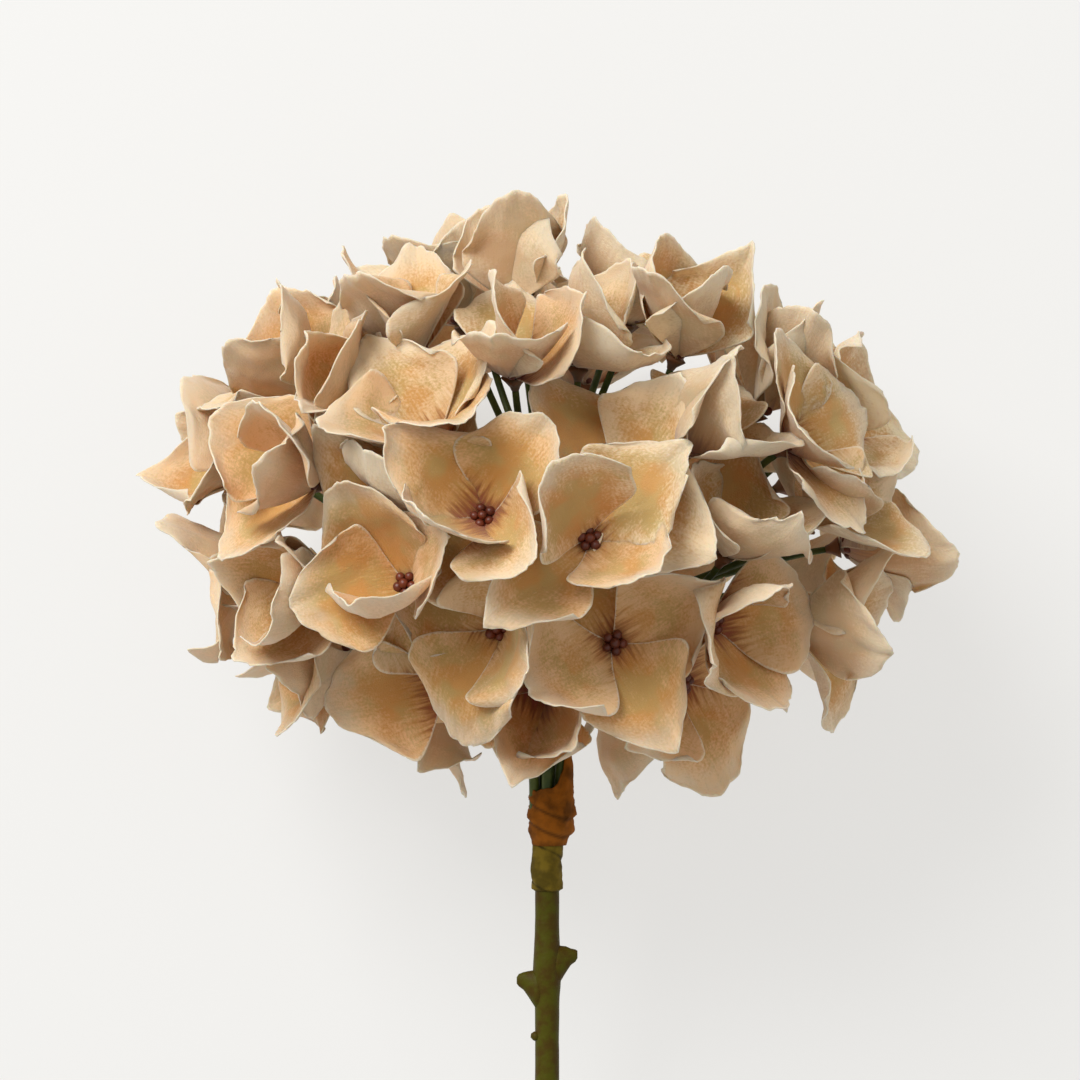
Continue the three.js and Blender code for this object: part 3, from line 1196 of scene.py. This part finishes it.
@dataclass
class StemWire:
    """The steel core of the stem."""

    frame: StemFrame
    radius: float = 1.2
    low: float = -404.4
    top: float = -62.0

    def build(self) -> bpy.types.Object:
        """Makes the wire.

        Returns:
            The piece.
        """
        mesh = bmesh.new()
        heights = (self.low, self.low + 0.2, self.top - 0.3, self.top)
        path = [self.frame.at(0, y, 0) for y in heights]
        radii = [(self.radius - cut) * MM for cut in (0.2, 0.0, 0.0, 0.3)]
        add_tube(mesh, path, radii, 20)
        return finish_piece("steel_core", mesh)


# ---------------------------------------------------------------- the studio


@dataclass
class Studio:
    """Pale table, soft lights and the camera that looks down on the flower."""

    frame: StemFrame
    distance: float = 1.0
    view_width: float = 0.2592

    def build(self) -> None:
        """Makes the table, the lights and the camera."""
        self._table()
        self._lights()
        self._camera()

    def _table(self) -> None:
        """Lays a wide pale table under the flower, glowing by itself as painted light that lifts
        its cast shadow.
        """
        mesh = bmesh.new()
        bmesh.ops.create_grid(mesh, x_segments=1, y_segments=1, size=30.0)
        made = finish_piece("table_top", mesh, shade_smooth=False)
        n = Nodes("glowing_table_paint")
        n.shader.inputs["Base Color"].default_value = (0.20, 0.20, 0.197, 1)
        n.shader.inputs["Roughness"].default_value = 0.9
        # Painted light: the table glows by itself, which lifts the shadow that the flower casts on
        # it.
        n.shader.inputs["Emission Color"].default_value = (1.0, 0.99, 0.965, 1)
        n.shader.inputs["Emission Strength"].default_value = 0.65
        made.data.materials.append(n.material)

    def _lights(self) -> None:
        """Hangs a key light at the upper left and a fill all round."""
        world = bpy.data.worlds.new("studio_air")
        bpy.context.scene.world = world
        world.use_nodes = True
        back = world.node_tree.nodes["Background"]
        back.inputs["Color"].default_value = (1.0, 0.99, 0.97, 1)
        back.inputs["Strength"].default_value = 0.51
        self._panel("key_panel", (-0.75, 0.75, 1.2), size=0.9, watts=25.0)
        self._panel("side_panel", (1.0, 0.2, 0.9), size=0.8, watts=1.0)

    def _panel(
        self, name: str, offset: tuple[float, float, float], size: float, watts: float
    ) -> None:
        """Hangs one square light that faces the head.

        Args:
            name: The light's name.
            offset: Where it hangs from the middle of the head, in metres.
            size: Side of the square in metres.
            watts: Its power.
        """
        data = bpy.data.lights.new(name, "AREA")
        data.size = size
        data.energy = watts
        lamp = bpy.data.objects.new(name, data)
        head = self.frame.at(0, 0, 0)
        lamp.location = head + Vector(offset)
        lamp.rotation_euler = (head - lamp.location).to_track_quat("-Z", "Y").to_euler()
        bpy.context.scene.collection.objects.link(lamp)

    def _camera(self) -> None:
        """Sets the camera square to the front of the head."""
        data = bpy.data.cameras.new("front_camera")
        data.sensor_width = 36.0
        data.lens = 36.0 / (self.view_width / self.distance)
        camera = bpy.data.objects.new("front_camera", data)
        aim = self.frame.at(-1.7, -12.0, 0)
        camera.location = aim + self.frame.front * self.distance
        turn = Matrix((self.frame.side, self.frame.up, self.frame.front)).transposed()
        camera.rotation_euler = turn.to_euler()
        bpy.context.scene.collection.objects.link(camera)
        bpy.context.scene.camera = camera


# ---------------------------------------------------------------- the whole flower


class Hydrangea:
    """Builds every piece of the flower and says what each one is. Gaps are in metres."""

    SECTORS = 5
    SETTLE_GAP = 0.0005
    CLOTH_GAP = 0.0003
    HEART_RISE = 0.002
    HUB_REACH = 0.0035
    HEAD_HALF = 0.07

    def __init__(self, nodes: dict[str, bpy.types.Object]) -> None:
        self.nodes = nodes
        self.frame = StemFrame.from_wire(nodes["stem_wire"])
        names = sorted(n for n in nodes if n.startswith("floret_"))
        self.seats = [Seat.from_node(nodes[name]) for name in names]

    def build(self) -> None:
        """Makes, dresses and reports all the pieces."""
        self._florets()
        self._sprays()
        self._stem()

    def _florets(self) -> None:
        """Makes the florets with their bead centres and calyxes."""
        head = self.frame.at(0, 0, 0)
        hearts = [(seat.hub + seat.axis * self.HEART_RISE, seat.node) for seat in self.seats]
        settler = PetalSettler(self.SETTLE_GAP, self.frame, head, hearts, [])
        order = sorted(self.seats, key=lambda s: -s.hub.dot(self.frame.front))
        settled: dict[str, list[Petal]] = {}
        for seat in order:
            number = int(seat.node[-2:])
            settled[seat.node] = self._petals(seat, number, settler)
        LOG.info("petals laid, %d not cleared by the coarse test", settler.crossings)
        cloth = [
            ClothFinish().make(),
            ClothFinish(name="petal_back", washed=0.4).make(),
            ClothFinish(name="petal_edge", washed=0.6).make(),
        ]
        bead = MouldedFinish(
            "bead_red", base=(0.14, 0.026, 0.010), other=(0.085, 0.016, 0.008), roughness=0.4
        ).make()
        rust = MouldedFinish(
            "calyx_rust", base=(0.17, 0.055, 0.012), other=(0.10, 0.05, 0.014), roughness=0.6
        ).make()
        for seat in self.seats:
            number = int(seat.node[-2:])
            rng = random.Random(number * 13)
            right = seat.hub.dot(self.frame.side) / self.HEAD_HALF
            high = (seat.hub - self.frame.foot).dot(self.frame.up) / MM - self.frame.head_up
            fade = 0.28 + 0.28 * right + 0.006 * high + rng.uniform(-0.15, 0.15)
            floret = Floret(seat, number, settled[seat.node], fade, rng.uniform(0.2, 1.0))
            made = floret.build(self.CLOTH_GAP)
            floret.dress(made, cloth)
            self._dress(BeadCentre(seat, number).build(), bead)
            self._dress(Calyx(seat, number).build(), rust)
            LOG.info("%s with its beads and calyx", made.name)

    def _petals(self, seat: Seat, number: int, settler: PetalSettler) -> list[Petal]:
        """Cuts and settles the four petals of one floret.

        Args:
            seat: Where the floret sits.
            number: Its number.
            settler: Moves each petal away from the others.

        Returns:
            The four petals.
        """
        rng = random.Random(number * 31 + 5)
        lean = Vector([rng.uniform(-0.12, 0.12) for _ in range(3)])
        axis = (seat.axis + lean).normalized()
        hand = 1 if number % 2 else -1
        openness = rng.uniform(-6.0, 8.0)
        petals = []
        for index, tip in enumerate(seat.tips):
            out = (tip - axis * tip.dot(axis)).normalized()
            habit = rng.choice((Habit.IN, Habit.IN, Habit.IN, Habit.FLAT, Habit.BACK))
            wanted = Petal(
                hub=seat.hub,
                axis=axis,
                out=out,
                seed=number * 4 + index,
                length=rng.uniform(26.0, 31.0),
                width=rng.uniform(25.0, 29.5),
                slope=openness + rng.uniform(22.0, 38.0) + (8.0 if habit is Habit.BACK else 0.0),
                curl=habit.value * rng.uniform(18.0, 50.0) + rng.uniform(-6.0, 8.0),
                cup=rng.uniform(0.3, 0.75),
                twist=hand * rng.uniform(7.0, 16.0),
                wave=rng.uniform(0.5, 1.4),
                point=rng.uniform(0.0, 1.0),
                drift=rng.uniform(-2.5, 2.5),
                widest=rng.uniform(0.52, 0.62),
                roll=rng.choice((0.0, 1.0, -1.0)) * rng.uniform(1.5, 5.0),
                hook=rng.choice((0.0, 0.0, -1.0, -1.0, 1.0)) * rng.uniform(1.5, 4.5),
            )
            petals.append(settler.settle(wanted, seat.node))
        return petals

    def _sprays(self) -> None:
        """Makes the sprays that carry the florets."""
        green = MouldedFinish(
            "spray_green", base=(0.030, 0.055, 0.008), other=(0.075, 0.10, 0.015), shine=0.3
        ).make()
        for name in sorted(n for n in self.nodes if n.startswith("spray_")):
            spots = {v.co.copy().freeze() for v in self.nodes[name].data.vertices}
            seats = []
            for seat in self.seats:
                if min((p - seat.hub).length for p in spots) < self.HUB_REACH:
                    seats.append(seat)
            foot, bend, fork = self._branch(name)
            made = Spray(name, seats, foot, bend, fork).build()
            self._dress(made, green, name)
            LOG.info("%s carries %d florets", made.name, len(seats))

    def _branch(self, name: str) -> tuple[Vector, Vector, Vector]:
        """Foot, bend and fork of a spray's branch.

        Args:
            name: The spray's node.

        Returns:
            The three places in the row frame.
        """
        if name == "spray_top":
            spots = ((0, -61.7, 0), (0, -50, 0), (0, -5.6, 0))
        else:
            turn = (int(name[-1]) - 1) * math.tau / self.SECTORS
            x, z = math.sin(turn), math.cos(turn)
            foot = (3.0 * x, -82.7, 3.0 * z)
            spots = (foot, (3.4 * x, -58, 3.4 * z), (17.4 * x, -27.9, 15.3 * z))
        foot, bend, fork = (self.frame.at(*spot) for spot in spots)
        return foot, bend, fork

    def _stem(self) -> None:
        """Makes the stem, its core and its wraps."""
        olive = MouldedFinish(
            "stem_olive",
            base=(0.066, 0.062, 0.003),
            other=(0.060, 0.036, 0.003),
            patch_size=280,
            grain=700,
            grain_depth=0.0004,
            shine=0.1,
        )
        tape = MouldedFinish(
            "tape_olive",
            base=(0.17, 0.115, 0.010),
            other=(0.085, 0.058, 0.005),
            roughness=0.7,
            patch_size=240,
            shine=0.1,
            # Painted shade at the lap edges.
            crease_shade=0.8,
        )
        rust = MouldedFinish(
            "bract_rust",
            base=(0.29, 0.090, 0.007),
            other=(0.13, 0.042, 0.004),
            roughness=0.8,
            patch_size=170,
            shine=0.1,
            # Painted shade in the folds.
            crease_shade=0.7,
        )
        self._dress(MainStem(self.frame).build(), olive.make(), "main_stem")
        self._dress(TapeWrap(self.frame).build(), tape.make(), "tape_wrap")
        self._dress(BractWrap(self.frame).build(), rust.make(), "bract_wrap")
        self._dress(StemWire(self.frame).build(), SteelFinish().make(), "stem_wire")
        LOG.info("stem, core, tape and bract")

    def _dress(
        self,
        made: bpy.types.Object,
        material: bpy.types.Material,
        node: str | None = None,
    ) -> None:
        """Gives a piece its finish and its place in the flower.

        Args:
            made: The piece.
            material: Its finish.
            node: The solid it stands for, if any.
        """
        made.data.materials.append(material)
        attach(made, "root")
        if node:
            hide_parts(node)


def main() -> None:
    """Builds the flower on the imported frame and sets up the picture."""
    logging.basicConfig(level=logging.INFO, format="%(message)s")
    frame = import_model()
    flower = Hydrangea(frame["nodes"])
    flower.build()
    Studio(flower.frame).build()
    scene = bpy.context.scene
    scene.view_settings.view_transform = "Standard"


if __name__ == "__main__":
    main()
